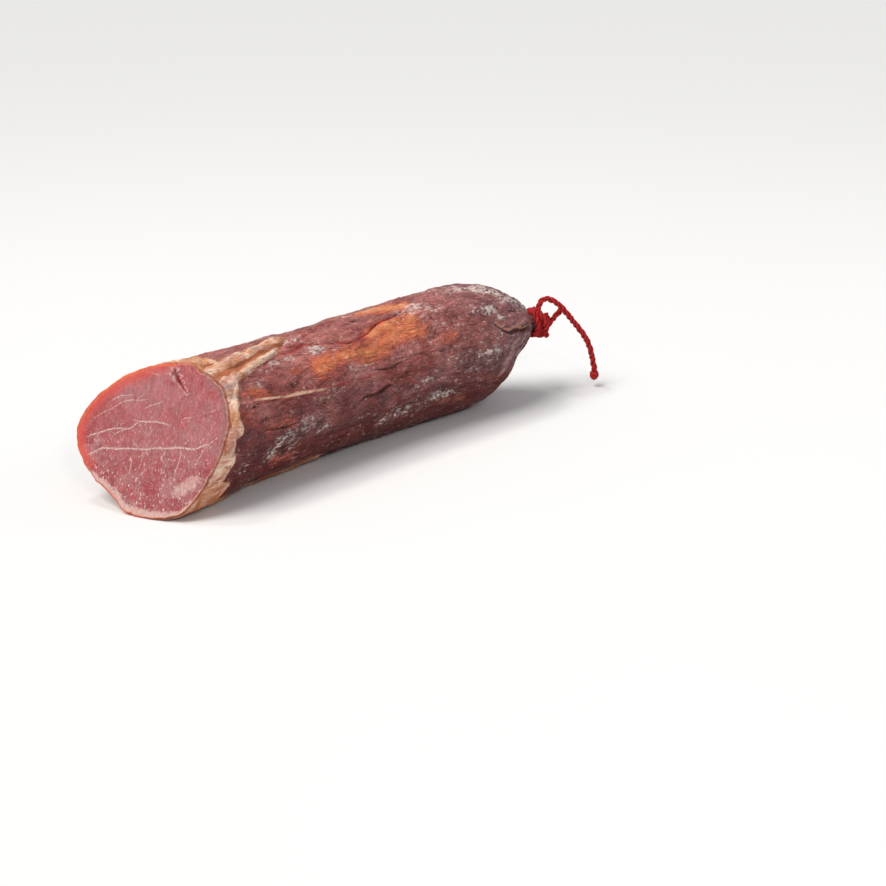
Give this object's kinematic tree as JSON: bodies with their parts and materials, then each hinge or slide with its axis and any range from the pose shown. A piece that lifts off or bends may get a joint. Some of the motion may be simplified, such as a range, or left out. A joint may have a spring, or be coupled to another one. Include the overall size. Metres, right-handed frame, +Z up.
{
  "type": "cured pork loin",
  "caption": "Cut length of cured pork loin in its casing: slanting cut face with marbled meat at one end, the other end gathered and tied with a red string whose tail hangs free.",
  "frame": {"origin": "on the resting surface, under the middle of the box round the loin and its string tie", "axes": "+X along the loin from the cut end to the tied end, +Z up"},
  "size_m": [0.3371, 0.0808, 0.0781],
  "materials": {
    "loin": "dried casing over meat, purple-brown with a dull shine; pink meat at the cut",
    "string": "red twisted cotton string"
  },
  "bodies": {
    "root": {"loin": "loin", "string_tie": "string", "string_tail": "string", "string_tail_knot": "string"}
  },
  "joints": []
}
